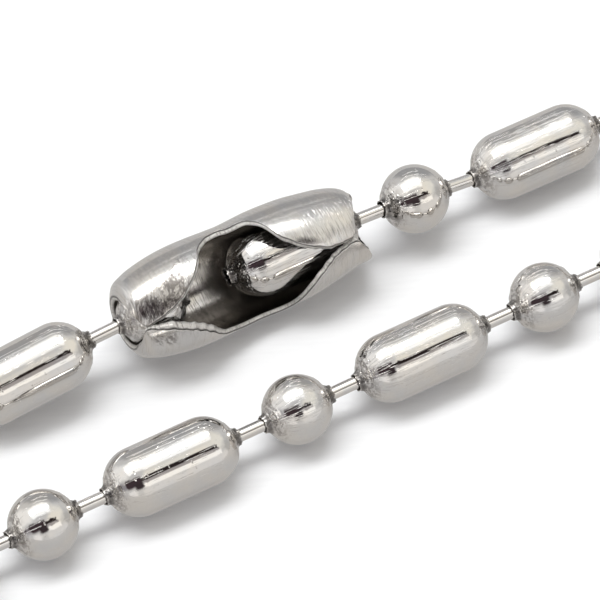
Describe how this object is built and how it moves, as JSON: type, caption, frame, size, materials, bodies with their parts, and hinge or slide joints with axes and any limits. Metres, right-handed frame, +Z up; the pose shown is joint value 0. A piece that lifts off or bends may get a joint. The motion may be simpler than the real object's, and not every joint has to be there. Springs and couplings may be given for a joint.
{
  "type": "ball chain necklace",
  "caption": "Ball chain necklace of hollow round and bar beads in turn on short headed pins, closed by a pressed sheet connector and lying flat as one loop.",
  "frame": {"origin": "middle of the whole loop, on the surface that it lies on", "axes": "+X along the two side-by-side strands from the small round end to the large one, +Y towards the strand with the connector, +Z up from the surface"},
  "size_m": [0.2439, 0.1024, 0.0037],
  "materials": {
    "bead_steel": "polished stainless steel with fine lengthwise scratches and small pits",
    "pin_steel": "drawn bright stainless steel wire",
    "connector_steel": "pressed stainless steel sheet, satin, with sheared bright edges"
  },
  "bodies": {
    "root": {"round_beads": "bead_steel", "bar_beads": "bead_steel", "link_pins": "pin_steel", "connector": "connector_steel"}
  },
  "joints": []
}
